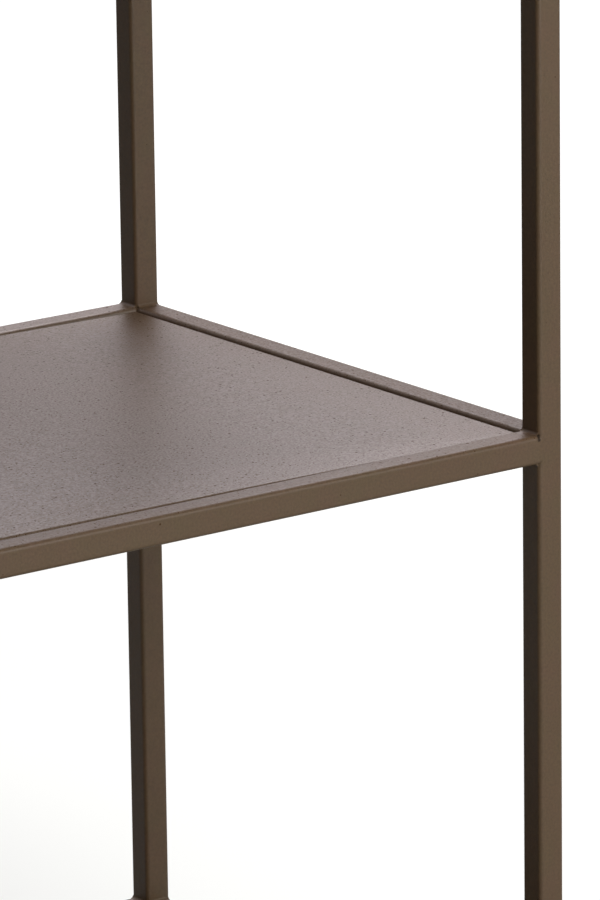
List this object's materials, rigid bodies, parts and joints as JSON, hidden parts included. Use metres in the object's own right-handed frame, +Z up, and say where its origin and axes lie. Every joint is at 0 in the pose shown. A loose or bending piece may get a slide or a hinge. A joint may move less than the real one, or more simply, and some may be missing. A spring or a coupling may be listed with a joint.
{
  "type": "open-fronted display shelf",
  "caption": "Free-standing open display shelf: welded frame of slim square steel tube in satin bronze-brown, with recessed sheet-steel shelves and levelling feet.",
  "frame": {"origin": "on the floor under the centre of the unit", "axes": "+Z up, the open front faces -Y, +X to the right of someone who faces the front"},
  "size_m": [0.8, 0.36, 1.46],
  "materials": {
    "coated_tube": "satin, fine-textured powder coat, bronze brown",
    "coated_sheet": "satin, fine-textured powder coat, bronze brown with fine dark specks",
    "coated_weld": "powder-coated weld metal, ground flush on the outside",
    "moulded_nylon": "matt black moulded nylon",
    "pad_nylon": "matt black moulded nylon",
    "zinc_steel": "bright zinc-plated steel"
  },
  "bodies": {
    "shelf_frame": {"post_front_left": "coated_tube", "post_front_right": "coated_tube", "post_rear_left": "coated_tube", "post_rear_right": "coated_tube", "post_cap_front_left": "coated_tube", "post_cap_front_right": "coated_tube", "post_cap_rear_left": "coated_tube", "post_cap_rear_right": "coated_tube", "foot_insert_front_left": "moulded_nylon", "foot_insert_front_right": "moulded_nylon", "foot_insert_rear_left": "moulded_nylon", "foot_insert_rear_right": "moulded_nylon", "front_rail_1": "coated_tube", "front_rail_2": "coated_tube", "front_rail_3": "coated_tube", "front_rail_4": "coated_tube", "front_rail_5": "coated_tube", "rear_rail_1": "coated_tube", "rear_rail_2": "coated_tube", "rear_rail_3": "coated_tube", "rear_rail_4": "coated_tube", "rear_rail_5": "coated_tube", "left_rail_1": "coated_tube", "left_rail_2": "coated_tube", "left_rail_3": "coated_tube", "left_rail_4": "coated_tube", "left_rail_5": "coated_tube", "right_rail_1": "coated_tube", "right_rail_2": "coated_tube", "right_rail_3": "coated_tube", "right_rail_4": "coated_tube", "right_rail_5": "coated_tube", "shelf_panel_1": "coated_sheet", "shelf_panel_2": "coated_sheet", "shelf_panel_3": "coated_sheet", "shelf_panel_4": "coated_sheet", "shelf_panel_5": "coated_sheet", "stiffener_1": "coated_sheet", "stiffener_2": "coated_sheet", "stiffener_3": "coated_sheet", "stiffener_4": "coated_sheet", "stiffener_5": "coated_sheet", "welds_1": "coated_weld", "welds_2": "coated_weld", "welds_3": "coated_weld", "welds_4": "coated_weld", "welds_5": "coated_weld"},
    "front_left_foot": {"foot_stud_front_left": "zinc_steel", "foot_pad_front_left": "pad_nylon"},
    "front_right_foot": {"foot_stud_front_right": "zinc_steel", "foot_pad_front_right": "pad_nylon"},
    "rear_left_foot": {"foot_stud_rear_left": "zinc_steel", "foot_pad_rear_left": "pad_nylon"},
    "rear_right_foot": {"foot_stud_rear_right": "zinc_steel", "foot_pad_rear_right": "pad_nylon"}
  },
  "joints": [
    {"name": "front_left_foot_travel", "type": "slide", "parent": "shelf_frame", "child": "front_left_foot", "axis": [0, 0, -1], "range_m": [0, 0.01]},
    {"name": "front_right_foot_travel", "type": "slide", "parent": "shelf_frame", "child": "front_right_foot", "axis": [0, 0, -1], "range_m": [0, 0.01]},
    {"name": "rear_left_foot_travel", "type": "slide", "parent": "shelf_frame", "child": "rear_left_foot", "axis": [0, 0, -1], "range_m": [0, 0.01]},
    {"name": "rear_right_foot_travel", "type": "slide", "parent": "shelf_frame", "child": "rear_right_foot", "axis": [0, 0, -1], "range_m": [0, 0.01]}
  ]
}
